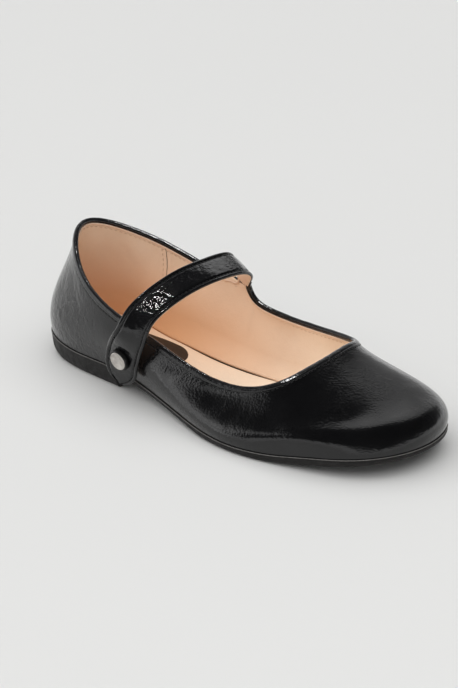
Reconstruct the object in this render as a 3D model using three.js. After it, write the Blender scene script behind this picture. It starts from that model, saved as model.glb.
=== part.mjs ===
// A flat mary jane shoe for the right foot: a low moulded sole, a hollow patent leather upper,
// a padded insole, and an instep strap that a snap holds to the outer side.
//
// Millimetres. X runs from the back of the heel to the toe, Y to the inner side of the foot
// and Z up. The last's own X starts near the back of the sole, and the finished shoe is moved
// at the end so that the middle of its footprint stands on the origin.

import * as THREE from 'three';
import { mergeVertices } from 'three/addons/utils/BufferGeometryUtils.js';

// Driving dimensions
const WALL = 2.0; // the upper's leather and lining together
const GAP = 0.3; // between pieces that touch
const INSOLE_THICKNESS = 2.0;
const STRAP_WIDTH = 17.5;
const STRAP_NECK = 9.5; // width where the strap leaves the inner quarter
const STRAP_FLARE = 20; // length over which the neck widens to the full strap
const STRAP_END_WIDTH = 22; // width of the round outer end
const STRAP_END_FLARE = 42; // length before the tip over which the strap widens to its round end
const STRAP_THICKNESS = 2.2;
const STUD_RADIUS = 6;
const STUD_HEIGHT = 2.4;
const STUD_FROM_TIP = 16;
const STUD_LIFT = 0.7; // space under the snap's cap, where the strap curves away from it
const TAB_RISE = 6; // the inner quarter rises by this much to meet the strap
const TAB_BACK = 87.5;
const TAB_BACK_RUN = 9; // how softly the rise fades behind the tab, and in front of it
const TAB_FRONT = 99.5;
const TAB_FRONT_RUN = 2.8;
const HEEL_BREAST = 68; // front face of the low heel
const BREAST_SLOPE = 2.5;

// Mesh fineness
const TURNS_PER_ROW = 5; // stations between two rows of the last
const WALL_STEPS = 14; // steps up the upper's wall
const FLOOR_STRIPS = 6; // strips across the sole and the insole
const STRAP_STEPS = 36;
const TIP_STEPS = 6;
const STUD_SIDES = 32;

// The last, a row for each section round the outline: back of the heel, outer side, toe, inner
// side. foot is the feather edge, where the upper meets the sole, and top is the topline.
// The wall leaves the feather edge by flareOut and flareUp, and it reaches the topline from
// leanOut outside it and leanDown under it.
const LAST_COLUMNS = ['footX', 'footY', 'topX', 'topY', 'topZ', 'flareOut', 'flareUp', 'leanOut', 'leanDown'];
const LAST_ROWS = [
  [-3, -1, 7, 3, 71, 7, 22, 5.5, 22], // back of the heel
  [4, -21, 17, -13, 68, 5, 21, 2.5, 23],
  [28, -31, 36, -28, 55, 3.5, 19, 3, 20],
  [64, -32.5, 64, -36, 45, 4.5, 16, 4, 16],
  [99, -36.5, 98, -36, 38, 6, 14, 3, 14], // outer waist
  [134, -47.5, 132, -38, 28, 6, 12, 2.5, 12],
  [167, -54.5, 162, -36, 27, 4.5, 10, 3.5, 10], // outer ball
  [202, -46, 181, -29, 35.5, 2, 7.5, 9, 8],
  [239, -36.5, 182, -12, 38, 1, 8, 28, 12],
  [255, 1, 183, 5, 40, 4, 15, 43, 16], // toe
  [239, 39, 180, 23, 40.5, 7, 17, 29, 16],
  [208, 39, 177, 37.5, 36.5, 6.5, 14, 8, 13],
  [171, 38, 156.5, 40.5, 35, 6, 13.5, 2.5, 12.5], // inner ball
  [135, 31, 125, 42, 33.5, 6, 14, 2, 12],
  [100, 24, 96, 38.5, 38.5, 7, 16, 2, 14], // inner waist
  [66.5, 23.5, 67.5, 38, 50.5, 6, 18, 3, 16],
  [31, 27.5, 36, 31.5, 61, 4.5, 20, 5.5, 19.5],
  [4, 19, 11, 17.5, 69, 6.5, 22.5, 6, 22.5],
];
const HEEL_TURN = 0;
const TOE_TURN = 9;
const ROUND = LAST_ROWS.length;

// Heights along the shoe: the seat is the top of the sole, the underside is what faces the floor
const SEAT = [[-5, 13.2], [30, 11], [70, 11], [110, 6.6], [150, 3.6], [185, 4.3], [215, 8.3], [240, 10.9], [262, 12]];
const ARCH = [[70, 7], [90, 6], [110, 4], [130, 1.6], [146, 0], [183, 0], [212, 3.6], [240, 7.2], [262, 9.8]];

// The sole's wall, from the floor up: how far outside the feather edge, and the height between
// the underside (0) and the seat (1)
const SOLE_WALL = [[-1.4, 0], [0.1, 0.22], [0.6, 0.5], [0.6, 0.86], [0, 1]];
const HEEL_TAPER = 1.4; // the heel's wall draws in by this much more at the floor
const HEEL_BACK_BEVEL = 0.9;
const HEEL_BACK_START = 8;

// The strap's outer face, from the inner quarter over the instep to the outer quarter.
// frontY and frontZ lean its width, which otherwise points at the toe.
const STRAP_COLUMNS = ['x', 'y', 'z', 'frontY', 'frontZ'];
const STRAP_ROWS = [
  [95.5, 38.8, 47.6, 0, -0.5],
  [103.5, 25.5, 63.5, -0.05, -0.5],
  [104, 3, 66.8, -0.05, -0.4],
  [100.5, -20, 63.3, -0.1, -0.4],
  [95.5, -40, 53, 0.05, -0.35],
  [92.2, -47.4, 39.2, 0.25, -0.46],
  [83.6, -44.3, 24.8, 0.1, -0.46],
  [80.2, -42.1, 9.5, 0.1, -0.47],
];
// The strap's section: the share of its half width, and the depth under its outer face
const STRAP_SECTION = [
  [-1, 0.7], [-1, 1.6], [-0.88, STRAP_THICKNESS], [0, STRAP_THICKNESS], [0.88, STRAP_THICKNESS],
  [1, 1.6], [1, 0.7], [0.88, 0], [0, 0], [-0.88, 0],
];

const UP = new THREE.Vector3(0, 0, 1);

const mix = (a, b, t) => a + (b - a) * t;

const smooth = (a, b, x) => {
  const t = Math.min(Math.max((x - a) / (b - a), 0), 1);
  return t * t * (3 - 2 * t);
};

// A smooth height through the points of a short table
function height(table, x) {
  const last = table.length - 2;
  const found = table.findIndex((point) => point[0] > x) - 1;
  const i = found < 0 ? (x < table[0][0] ? 0 : last) : found;
  const slope = (k) => {
    const a = table[Math.max(k - 1, 0)];
    const b = table[Math.min(k + 1, table.length - 1)];
    return (b[1] - a[1]) / (b[0] - a[0]);
  };
  const [x0, z0] = table[i];
  const [x1, z1] = table[i + 1];
  const run = x1 - x0;
  const t = Math.min(Math.max((x - x0) / run, 0), 1);
  const start = z0 + run * slope(i) * t * (1 - t) * (1 - t);
  const end = -run * slope(i + 1) * t * t * (1 - t);
  return start + end + (z1 - z0) * t * t * (3 - 2 * t);
}

const seatHeight = (x) => height(SEAT, x);

function undersideHeight(x) {
  if (x <= HEEL_BREAST) {
    return HEEL_BACK_BEVEL * smooth(HEEL_BACK_START, 0, x);
  }
  return Math.max(height(ARCH, x), 0);
}

// One section of the last: the rows blended by a smooth closed curve
function lastAt(turn) {
  const row = Math.floor(turn);
  const t = turn - row;
  const weights = [
    (1 - t) ** 3 / 6,
    (3 * t ** 3 - 6 * t ** 2 + 4) / 6,
    (-3 * t ** 3 + 3 * t ** 2 + 3 * t + 1) / 6,
    t ** 3 / 6,
  ];
  const section = {};
  LAST_COLUMNS.forEach((column, c) => {
    section[column] = weights.reduce((sum, weight, k) => {
      const source = LAST_ROWS[(row - 1 + k + ROUND) % ROUND];
      return sum + weight * source[c];
    }, 0);
  });
  return section;
}

function outwardAt(turn) {
  const a = lastAt((turn - 0.02 + ROUND) % ROUND);
  const b = lastAt((turn + 0.02) % ROUND);
  return new THREE.Vector3(a.footY - b.footY, b.footX - a.footX, 0).normalize().negate();
}

// How much the inner quarter rises above the plain topline to carry the strap
function tabRise(turn, x) {
  if (turn < TOE_TURN) {
    return 0;
  }
  const behind = Math.max(TAB_BACK - x, 0) / TAB_BACK_RUN;
  const before = Math.max(x - TAB_FRONT, 0) / TAB_FRONT_RUN;
  return TAB_RISE * Math.exp(-behind - before);
}

// A point on the outside of the upper: v is 0 at the feather edge and 1 at the topline
function outerPoint(turn, v) {
  const s = lastAt(turn);
  const out = outwardAt(turn);
  const foot = new THREE.Vector3(s.footX, s.footY, seatHeight(s.footX) + GAP);
  const top = new THREE.Vector3(s.topX, s.topY, s.topZ + tabRise(turn, s.topX));
  const lean = new THREE.Vector3(foot.x - top.x, foot.y - top.y, 0).addScaledVector(out, 25).normalize();
  const low = foot.clone().addScaledVector(out, s.flareOut).addScaledVector(UP, s.flareUp);
  const high = top.clone().addScaledVector(lean, s.leanOut).addScaledVector(UP, -s.leanDown);
  return new THREE.CubicBezierCurve3(foot, low, high, top).getPoint(v);
}

// The way into the wall: level at the feather edge, square to the leather above it
function inwardAt(turn, v) {
  const step = 0.01;
  const v0 = Math.max(v - step, 0);
  const v1 = Math.min(v + step, 1);
  const along = outerPoint((turn + step) % ROUND, v).sub(outerPoint((turn - step + ROUND) % ROUND, v));
  const up = outerPoint(turn, v1).sub(outerPoint(turn, v0));
  const square = up.cross(along).normalize();
  return outwardAt(turn).negate().lerp(square, smooth(0, 0.2, v)).normalize();
}

function innerPoint(turn, v) {
  return outerPoint(turn, v).addScaledVector(inwardAt(turn, v), WALL);
}

// Stations: pairs of turns on the outer and the inner side that lie at the same length
function turnAtLength(x, low, high) {
  const rising = lastAt(high % ROUND).footX > lastAt(low).footX;
  for (let k = 0; k < 40; k += 1) {
    const middle = (low + high) / 2;
    const short = lastAt(middle % ROUND).footX < x;
    if (short === rising) {
      low = middle;
    } else {
      high = middle;
    }
  }
  return (low + high) / 2;
}

function stationTurns() {
  const steps = TOE_TURN * TURNS_PER_ROW;
  const lengths = [];
  for (let k = 1; k < steps; k += 1) {
    lengths.push(lastAt((k / steps) * TOE_TURN).footX);
  }
  const edges = [HEEL_BREAST, HEEL_BREAST + BREAST_SLOPE, 80, 84, TAB_BACK, 91, 95, TAB_FRONT, 102.5, 106];
  const clear = lengths.filter((x) => edges.every((edge) => Math.abs(edge - x) > 1.5));
  const sorted = clear.concat(edges).sort((a, b) => a - b);
  const outer = sorted.map((x) => turnAtLength(x, HEEL_TURN, TOE_TURN));
  const inner = sorted.map((x) => turnAtLength(x, TOE_TURN, ROUND));
  return [HEEL_TURN, ...outer, TOE_TURN, ...inner.reverse()];
}

const STATIONS = stationTurns();
const HALF = STATIONS.length / 2;

// Mesh helpers: a skin joins loops of equal length, and a floor closes a loop of stations
function skin(triangles, first, loops, size, closed) {
  const rings = closed ? loops : loops - 1;
  for (let i = 0; i < rings; i += 1) {
    for (let j = 0; j < size; j += 1) {
      const a = first + i * size + j;
      const b = first + i * size + ((j + 1) % size);
      const c = first + ((i + 1) % loops) * size + j;
      const d = first + ((i + 1) % loops) * size + ((j + 1) % size);
      triangles.push([a, b, d], [a, d, c]);
    }
  }
}

function makeGeometry(points, triangles) {
  const loose = new THREE.BufferGeometry();
  loose.setAttribute('position', new THREE.Float32BufferAttribute(points.flatMap((p) => [p.x, p.y, p.z]), 3));
  loose.setIndex(triangles.flat());
  const merged = mergeVertices(loose, 1e-3);
  const index = Array.from(merged.index.array);
  const kept = [];
  for (let k = 0; k < index.length; k += 3) {
    const [a, b, c] = index.slice(k, k + 3);
    if (a !== b && b !== c && c !== a) {
      kept.push(a, b, c);
    }
  }
  merged.setIndex(kept);
  merged.computeVertexNormals();
  return merged;
}

// A loop of stations is closed by strips from each outer station to its inner partner
function floorPoints(loop) {
  const points = [];
  for (let i = 0; i <= HALF; i += 1) {
    const outer = loop[i];
    const inner = loop[(loop.length - i) % loop.length];
    for (let j = 0; j <= FLOOR_STRIPS; j += 1) {
      points.push(outer.clone().lerp(inner, j / FLOOR_STRIPS));
    }
  }
  return points;
}

function addFloor(points, triangles, loop, up) {
  const first = points.length;
  points.push(...floorPoints(loop));
  const row = FLOOR_STRIPS + 1;
  for (let i = 0; i < HALF; i += 1) {
    for (let j = 0; j < FLOOR_STRIPS; j += 1) {
      const a = first + i * row + j;
      const b = a + row;
      const quad = up ? [[a, b, b + 1], [a, b + 1, a + 1]] : [[a, b + 1, b], [a, a + 1, b + 1]];
      triangles.push(...quad);
    }
  }
}

// A plate is a stack of station loops with a floor under it and one on top
function plateGeometry(loops) {
  const points = loops.flat();
  const triangles = [];
  skin(triangles, 0, loops.length, STATIONS.length, false);
  addFloor(points, triangles, loops[0], false);
  addFloor(points, triangles, loops[loops.length - 1], true);
  return makeGeometry(points, triangles);
}

function outlinePoint(turn, outside, z) {
  const s = lastAt(turn);
  const point = new THREE.Vector3(s.footX, s.footY, 0).addScaledVector(outwardAt(turn), outside);
  point.z = z(s.footX);
  return point;
}

function soleGeometry() {
  const loops = SOLE_WALL.map(([outside, rise]) => STATIONS.map((turn) => {
    const heel = 1 - smooth(HEEL_BREAST, HEEL_BREAST + 4, lastAt(turn).footX);
    const taper = HEEL_TAPER * heel * (1 - rise);
    return outlinePoint(turn, outside - taper, (x) => mix(undersideHeight(x), seatHeight(x), rise));
  }));
  return plateGeometry(loops);
}

function insoleGeometry() {
  const inset = -(WALL + 0.35);
  const layers = [[inset, 0], [inset, INSOLE_THICKNESS - 0.6], [inset - 0.7, INSOLE_THICKNESS]];
  const loops = layers.map(([outside, rise]) => STATIONS.map((turn) => (
    outlinePoint(turn, outside, (x) => seatHeight(x) + GAP + rise)
  )));
  return plateGeometry(loops);
}

function upperGeometry() {
  const loops = [];
  for (let k = 0; k <= WALL_STEPS; k += 1) {
    loops.push(STATIONS.map((turn) => outerPoint(turn, k / WALL_STEPS)));
  }
  for (let k = WALL_STEPS; k >= 0; k -= 1) {
    loops.push(STATIONS.map((turn) => innerPoint(turn, k / WALL_STEPS)));
  }
  const triangles = [];
  skin(triangles, 0, loops.length, STATIONS.length, true);
  return makeGeometry(loops.flat(), triangles);
}

// The strap's path: a smooth curve through its rows, with its width and its outward normal
function strapRow(t) {
  const scaled = Math.min(Math.max(t, 0), 1) * (STRAP_ROWS.length - 1);
  const i = Math.min(Math.floor(scaled), STRAP_ROWS.length - 2);
  const f = scaled - i;
  const pick = (k) => STRAP_ROWS[Math.min(Math.max(k, 0), STRAP_ROWS.length - 1)];
  const row = {};
  STRAP_COLUMNS.forEach((column, c) => {
    const [p0, p1, p2, p3] = [pick(i - 1)[c], pick(i)[c], pick(i + 1)[c], pick(i + 2)[c]];
    const m1 = (p2 - p0) / 2;
    const m2 = (p3 - p1) / 2;
    const bend = (1 - f) * m1 * f * (1 - f) - f * m2 * f * (1 - f);
    row[column] = mix(p1, p2, f * f * (3 - 2 * f)) + bend;
  });
  return row;
}

const strapPoint = (t) => {
  const row = strapRow(t);
  return new THREE.Vector3(row.x, row.y, row.z);
};

function strapFrame(t) {
  const row = strapRow(t);
  const centre = new THREE.Vector3(row.x, row.y, row.z);
  const along = strapPoint(t + 0.005).sub(strapPoint(t - 0.005)).normalize();
  const front = new THREE.Vector3(1, row.frontY, row.frontZ);
  front.addScaledVector(along, -front.dot(along)).normalize();
  const outward = along.clone().cross(front).normalize();
  return { centre, along, front, outward };
}

function strapLengths() {
  const steps = 400;
  const lengths = [0];
  for (let k = 1; k <= steps; k += 1) {
    const run = strapPoint(k / steps).distanceTo(strapPoint((k - 1) / steps));
    lengths.push(lengths[k - 1] + run);
  }
  return lengths;
}

const STRAP_LENGTHS = strapLengths();
const STRAP_LENGTH = STRAP_LENGTHS[STRAP_LENGTHS.length - 1];

function strapParameter(length) {
  const k = STRAP_LENGTHS.findIndex((l) => l >= length);
  if (k <= 0) {
    return k === 0 ? 0 : 1;
  }
  const share = (length - STRAP_LENGTHS[k - 1]) / (STRAP_LENGTHS[k] - STRAP_LENGTHS[k - 1]);
  return (k - 1 + share) / (STRAP_LENGTHS.length - 1);
}

function strapWidth(length) {
  const radius = STRAP_END_WIDTH / 2;
  const toTip = STRAP_LENGTH - length;
  const neck = mix(STRAP_NECK, STRAP_WIDTH, smooth(0, STRAP_FLARE, length));
  const width = mix(STRAP_END_WIDTH, neck, smooth(radius, STRAP_END_FLARE, toTip));
  if (toTip >= radius) {
    return width;
  }
  return 2 * Math.sqrt(radius ** 2 - (radius - toTip) ** 2);
}

function strapGeometry() {
  const radius = STRAP_END_WIDTH / 2;
  const straight = STRAP_LENGTH - radius;
  const lengths = [];
  for (let k = 0; k <= STRAP_STEPS; k += 1) {
    lengths.push((straight * k) / STRAP_STEPS);
  }
  for (let k = 1; k <= TIP_STEPS; k += 1) {
    lengths.push(straight + radius * Math.sin((k / (TIP_STEPS + 1)) * (Math.PI / 2)));
  }
  const loops = lengths.map((length) => {
    const { centre, front, outward } = strapFrame(strapParameter(length));
    const half = strapWidth(length) / 2;
    return STRAP_SECTION.map(([across, depth]) => (
      centre.clone().addScaledVector(front, across * half).addScaledVector(outward, -depth)
    ));
  });
  const points = loops.flat();
  const triangles = [];
  const size = STRAP_SECTION.length;
  const end = points.length - size;
  skin(triangles, 0, loops.length, size, false);
  for (let j = 1; j < size - 1; j += 1) {
    triangles.push([0, j + 1, j], [end, end + j, end + j + 1]);
  }
  return makeGeometry(points, triangles);
}

// The snap's cap: a low drum with a dished face, turned about its own Z
function studGeometry() {
  const profile = [
    [0, 0],
    [STUD_RADIUS * 0.9, 0],
    [STUD_RADIUS, STUD_HEIGHT * 0.3],
    [STUD_RADIUS * 0.97, STUD_HEIGHT * 0.75],
    [STUD_RADIUS * 0.86, STUD_HEIGHT],
    [STUD_RADIUS * 0.74, STUD_HEIGHT * 0.86],
    [0, STUD_HEIGHT * 0.95],
  ];
  const lathe = new THREE.LatheGeometry(profile.map(([r, z]) => new THREE.Vector2(r, z)), STUD_SIDES);
  lathe.deleteAttribute('normal');
  lathe.deleteAttribute('uv');
  lathe.rotateX(Math.PI / 2);
  const position = lathe.getAttribute('position');
  const points = [];
  for (let k = 0; k < position.count; k += 1) {
    points.push(new THREE.Vector3().fromBufferAttribute(position, k));
  }
  const triangles = [];
  for (let k = 0; k < lathe.index.count; k += 3) {
    triangles.push([0, 1, 2].map((j) => lathe.index.getX(k + j)));
  }
  return makeGeometry(points, triangles);
}

function placeStud(mesh) {
  const { centre, front, outward } = strapFrame(strapParameter(STRAP_LENGTH - STUD_FROM_TIP));
  mesh.quaternion.setFromRotationMatrix(new THREE.Matrix4().makeBasis(front, outward.clone().cross(front), outward));
  mesh.position.copy(centre).addScaledVector(outward, STUD_LIFT);
}

const MATERIALS = {
  patent: new THREE.MeshStandardMaterial({ color: 0x0b0b0d, roughness: 0.18, metalness: 0 }),
  rubber: new THREE.MeshStandardMaterial({ color: 0x19191b, roughness: 0.8, metalness: 0 }),
  lining: new THREE.MeshStandardMaterial({ color: 0xd9b08c, roughness: 0.6, metalness: 0 }),
  satinMetal: new THREE.MeshStandardMaterial({ color: 0xa8a39b, roughness: 0.35, metalness: 1 }),
};

const shoe = new THREE.Group();

function addPiece(name, geometry, material) {
  const mesh = new THREE.Mesh(geometry, MATERIALS[material]);
  mesh.name = name;
  shoe.add(mesh);
  return mesh;
}

addPiece('sole', soleGeometry(), 'rubber');
addPiece('insole', insoleGeometry(), 'lining');
addPiece('upper', upperGeometry(), 'patent');
addPiece('strap', strapGeometry(), 'patent');
placeStud(addPiece('stud', studGeometry(), 'satinMetal'));

// The middle of the shoe's box stands on the origin
const box = new THREE.Box3().setFromObject(shoe, true);
const middle = box.getCenter(new THREE.Vector3());
shoe.position.set(-middle.x, -middle.y, -box.min.z);

export default shoe;
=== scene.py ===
"""A flat mary jane shoe for the right foot, in black patent leather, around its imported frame.

Sizes are in millimetres in the last's own frame: X runs from the back of the heel to the toe,
Y to the inner side of the foot and Z up. finish_piece() moves them to the frame, in metres.
"""

import math

import bmesh
import bpy
import numpy as np
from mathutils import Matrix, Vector


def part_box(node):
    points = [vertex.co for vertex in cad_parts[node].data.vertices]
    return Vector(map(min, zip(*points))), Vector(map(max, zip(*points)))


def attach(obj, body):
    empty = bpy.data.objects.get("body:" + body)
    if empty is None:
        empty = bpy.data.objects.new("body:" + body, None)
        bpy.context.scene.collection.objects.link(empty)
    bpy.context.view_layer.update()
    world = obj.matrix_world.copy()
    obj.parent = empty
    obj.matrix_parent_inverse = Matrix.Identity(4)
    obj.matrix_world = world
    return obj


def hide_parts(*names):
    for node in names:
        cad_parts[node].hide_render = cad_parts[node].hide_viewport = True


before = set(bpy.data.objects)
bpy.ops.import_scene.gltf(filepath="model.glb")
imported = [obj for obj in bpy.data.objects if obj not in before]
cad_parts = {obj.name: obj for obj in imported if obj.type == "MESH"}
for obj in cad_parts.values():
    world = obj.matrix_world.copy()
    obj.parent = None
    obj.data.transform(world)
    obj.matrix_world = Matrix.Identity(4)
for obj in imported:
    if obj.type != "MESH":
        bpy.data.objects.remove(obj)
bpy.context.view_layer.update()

MM = 0.001
UP = np.array([0.0, 0.0, 1.0])

# ---- The shoe's driving dimensions, as the part has them ----
WALL = 2.0
GAP = 0.3
INSOLE_THICKNESS = 2.0
STRAP_WIDTH = 17.5
STRAP_NECK = 9.5
STRAP_FLARE = 20.0
STRAP_END_WIDTH = 22.0
STRAP_END_FLARE = 42.0
STUD_RADIUS = 6.0
STUD_HEIGHT = 2.4
STUD_FROM_TIP = 16.0
STUD_LIFT = 0.7
TAB_RISE = 6.0
TAB_BACK = 87.5
TAB_BACK_RUN = 9.0
TAB_FRONT = 99.5
TAB_FRONT_RUN = 2.8
STRAP_ROOT = 91.0  # where the strap's rear edge leaves the quarter
HEEL_BREAST = 68.0
BREAST_SLOPE = 2.5
HEEL_TAPER = 1.4
HEEL_BACK_BEVEL = 0.9
HEEL_BACK_START = 8.0

# The last, with the part's numbers: footX footY topX topY topZ flareOut flareUp leanOut leanDown.
# This table, SEAT and STRAP were mostly fitted to the photograph's outlines by another program and
# rounded, and ARCH in part. They were not set by hand.
LAST = np.array([
    [-3, -1, 7, 3, 71, 7, 22, 5.5, 22],  # back of the heel
    [4, -21, 17, -13, 68, 5, 21, 2.5, 23],
    [28, -31, 36, -28, 55, 3.5, 19, 3, 20],
    [64, -32.5, 64, -36, 45, 4.5, 16, 4, 16],
    [99, -36.5, 98, -36, 38, 6, 14, 3, 14],  # outer waist
    [134, -47.5, 132, -38, 28, 6, 12, 2.5, 12],
    [167, -54.5, 162, -36, 27, 4.5, 10, 3.5, 10],  # outer ball
    [202, -46, 181, -29, 35.5, 2, 7.5, 9, 8],
    [239, -36.5, 182, -12, 38, 1, 8, 28, 12],
    [255, 1, 183, 5, 40, 4, 15, 43, 16],  # toe
    [239, 39, 180, 23, 40.5, 7, 17, 29, 16],
    [208, 39, 177, 37.5, 36.5, 6.5, 14, 8, 13],
    [171, 38, 156.5, 40.5, 35, 6, 13.5, 2.5, 12.5],  # inner ball
    [135, 31, 125, 42, 33.5, 6, 14, 2, 12],
    [100, 24, 96, 38.5, 38.5, 7, 16, 2, 14],  # inner waist
    [66.5, 23.5, 67.5, 38, 50.5, 6, 18, 3, 16],
    [31, 27.5, 36, 31.5, 61, 4.5, 20, 5.5, 19.5],
    [4, 19, 11, 17.5, 69, 6.5, 22.5, 6, 22.5],
])
ROUND = len(LAST)
TOE_TURN = 9

# Heights along the shoe: the top of the sole, and its underside
SEAT = [[-5, 13.2], [30, 11], [70, 11], [110, 6.6], [150, 3.6], [185, 4.3], [215, 8.3], [240, 10.9],
        [262, 12]]
ARCH = [[70, 7], [90, 6], [110, 4], [130, 1.6], [146, 0], [183, 0], [212, 3.6], [240, 7.2], [262, 9.8]]

# The strap's outer face: x y z frontY frontZ
STRAP = np.array([
    [95.5, 38.8, 47.6, 0, -0.5],
    [103.5, 25.5, 63.5, -0.05, -0.5],
    [104, 3, 66.8, -0.05, -0.4],
    [100.5, -20, 63.3, -0.1, -0.4],
    [95.5, -40, 53, 0.05, -0.35],
    [92.2, -47.4, 39.2, 0.25, -0.46],
    [83.6, -44.3, 24.8, 0.1, -0.46],
    [80.2, -42.1, 9.5, 0.1, -0.47],
])

# How fine the meshes are
COLUMNS = 600  # columns round the upper
SKIN_ROWS = 84  # rows up its outside
LINING_ROWS = 44
SOLE_COLUMNS = 400
STRAP_STATIONS = 300


# ---- The last, as arrays ----
def smooth(a, b, x):
    t = np.clip((x - a) / (b - a), 0, 1)
    return t * t * (3 - 2 * t)


def unit(vectors):
    return vectors / np.linalg.norm(vectors, axis=-1, keepdims=True)


def height(table, x):
    """A smooth height through the points of a short table."""
    table = np.asarray(table, float)
    at, z = table[:, 0], table[:, 1]
    before = np.maximum(np.arange(len(at)) - 1, 0)
    after = np.minimum(np.arange(len(at)) + 1, len(at) - 1)
    slope = (z[after] - z[before]) / (at[after] - at[before])
    i = np.clip(np.searchsorted(at, x, side="right") - 1, 0, len(at) - 2)
    run = at[i + 1] - at[i]
    t = np.clip((x - at[i]) / run, 0, 1)
    start = run * slope[i] * t * (1 - t) ** 2
    end = -run * slope[i + 1] * t * t * (1 - t)
    return z[i] + start + end + (z[i + 1] - z[i]) * t * t * (3 - 2 * t)


def through_rows(rows, at):
    """A smooth route through a few rows, at places counted in rows."""
    rows = np.asarray(rows, float)
    end = len(rows) - 1
    i = np.minimum(np.floor(at).astype(int), end - 1)
    f = (at - i)[..., None]
    p0, p1, p2, p3 = (rows[np.clip(i + k, 0, end)] for k in (-1, 0, 1, 2))
    bend = ((1 - f) * (p2 - p0) - f * (p3 - p1)) * f * (1 - f) / 2
    return p1 + (p2 - p1) * f * f * (3 - 2 * f) + bend


def last_at(turn):
    """The last's section at each turn: the rows blended by a smooth closed curve."""
    turn = np.asarray(turn, float)
    row = np.floor(turn).astype(int)
    t = (turn - row)[..., None]
    weights = (
        (1 - t) ** 3 / 6,
        (3 * t ** 3 - 6 * t ** 2 + 4) / 6,
        (-3 * t ** 3 + 3 * t ** 2 + 3 * t + 1) / 6,
        t ** 3 / 6,
    )
    return sum(weight * LAST[(row - 1 + k) % ROUND] for k, weight in enumerate(weights))


def outward_at(turn):
    step = last_at(turn + 0.02) - last_at(turn - 0.02)
    return unit(np.stack([step[..., 1], -step[..., 0], 0 * step[..., 0]], -1))


def tab_rise(turn, x):
    """How much the inner quarter rises above the plain topline to carry the strap."""
    behind = np.maximum(TAB_BACK - x, 0) / TAB_BACK_RUN
    before = np.maximum(x - TAB_FRONT, 0) / TAB_FRONT_RUN
    return np.where(turn % ROUND >= TOE_TURN, TAB_RISE * np.exp(-behind - before), 0)


def outer_point(turn, v):
    """A point on the outside of the upper: v is 0 at the feather edge and 1 at the topline."""
    turn, v = np.broadcast_arrays(np.asarray(turn, float), np.asarray(v, float))
    s = last_at(turn)
    foot_x, foot_y, top_x, top_y, top_z, flare_out, flare_up, lean_out, lean_down = np.moveaxis(s, -1, 0)
    out = outward_at(turn)
    foot = np.stack([foot_x, foot_y, height(SEAT, foot_x) + GAP], -1)
    top = np.stack([top_x, top_y, top_z + tab_rise(turn, top_x)], -1)
    lean = unit((foot - top) * [1, 1, 0] + 25 * out)
    low = foot + out * flare_out[..., None] + UP * flare_up[..., None]
    high = top + lean * lean_out[..., None] - UP * lean_down[..., None]
    v = v[..., None]
    return (1 - v) ** 3 * foot + 3 * (1 - v) ** 2 * v * low + 3 * (1 - v) * v * v * high + v ** 3 * top


def inward_at(turn, v):
    """The way into the wall: level at the feather edge, square to the leather above it."""
    turn, v = np.broadcast_arrays(np.asarray(turn, float), np.asarray(v, float))
    step = 0.01
    along = outer_point(turn + step, v) - outer_point(turn - step, v)
    up = outer_point(turn, np.minimum(v + step, 1)) - outer_point(turn, np.maximum(v - step, 0))
    square = unit(np.cross(up, along))
    share = smooth(0, 0.2, v)[..., None]
    return unit(-outward_at(turn) * (1 - share) + square * share)


def wall_point(turn, v, depth):
    return outer_point(turn, v) + inward_at(turn, v) * np.asarray(depth)[..., None]


def outline_point(turn, outside, z):
    """A point outside (or inside) the feather edge in plan, at a height."""
    s = last_at(turn)
    point = s[..., :3].copy()
    point[..., 2] = 0
    point = point + outward_at(turn) * np.asarray(outside)[..., None]
    point[..., 2] = z
    return point


TURNS = np.arange(COLUMNS) * ROUND / COLUMNS
SOLE_TURNS = np.arange(SOLE_COLUMNS) * ROUND / SOLE_COLUMNS

# The frame's sole box says where the last stands
outline = outline_point(SOLE_TURNS, 0.6, 0)
sole_low, sole_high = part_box("sole")
ORIGIN = np.array([
    (sole_low[0] + sole_high[0]) / 2 / MM - (outline[:, 0].min() + outline[:, 0].max()) / 2,
    (sole_low[1] + sole_high[1]) / 2 / MM - (outline[:, 1].min() + outline[:, 1].max()) / 2,
    0.0,
])


# ---- Mesh helpers ----
def grid_faces(rows, columns, close_rows=False, close_columns=False, first=0):
    """The quads of a grid of points, its rows one after another."""
    i = np.arange(rows if close_rows else rows - 1)[:, None]
    j = np.arange(columns if close_columns else columns - 1)[None, :]
    i1 = (i + 1) % rows
    j1 = (j + 1) % columns
    quads = np.stack([i * columns + j, i * columns + j1, i1 * columns + j1, i1 * columns + j], -1)
    return (quads.reshape(-1, 4) + first).tolist()


def capped_tube(loops):
    """The faces of a tube of loops, with a flat cap at each end."""
    rows, columns = loops.shape[:2]
    faces = grid_faces(rows, columns, close_columns=True)
    faces.append(list(range(columns)))
    faces.append(list(range((rows - 1) * columns, rows * columns))[::-1])
    return faces


def finish_piece(name, points, faces, material, replaced=()):
    """Makes the mesh, faces it outwards, and ties it to the frame."""
    mesh = bpy.data.meshes.new(name)
    placed = (np.asarray(points).reshape(-1, 3) + ORIGIN) * MM
    mesh.from_pydata(placed.tolist(), [], faces)
    mesh.validate()
    mesh.update()
    mesh.polygons.foreach_set("use_smooth", [True] * len(mesh.polygons))
    piece = bpy.data.objects.new(name, mesh)
    bpy.context.scene.collection.objects.link(piece)
    mesh.materials.append(material)
    face_outwards(mesh)
    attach(piece, "root")
    for node in replaced:
        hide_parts(node)
    return piece


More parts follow.
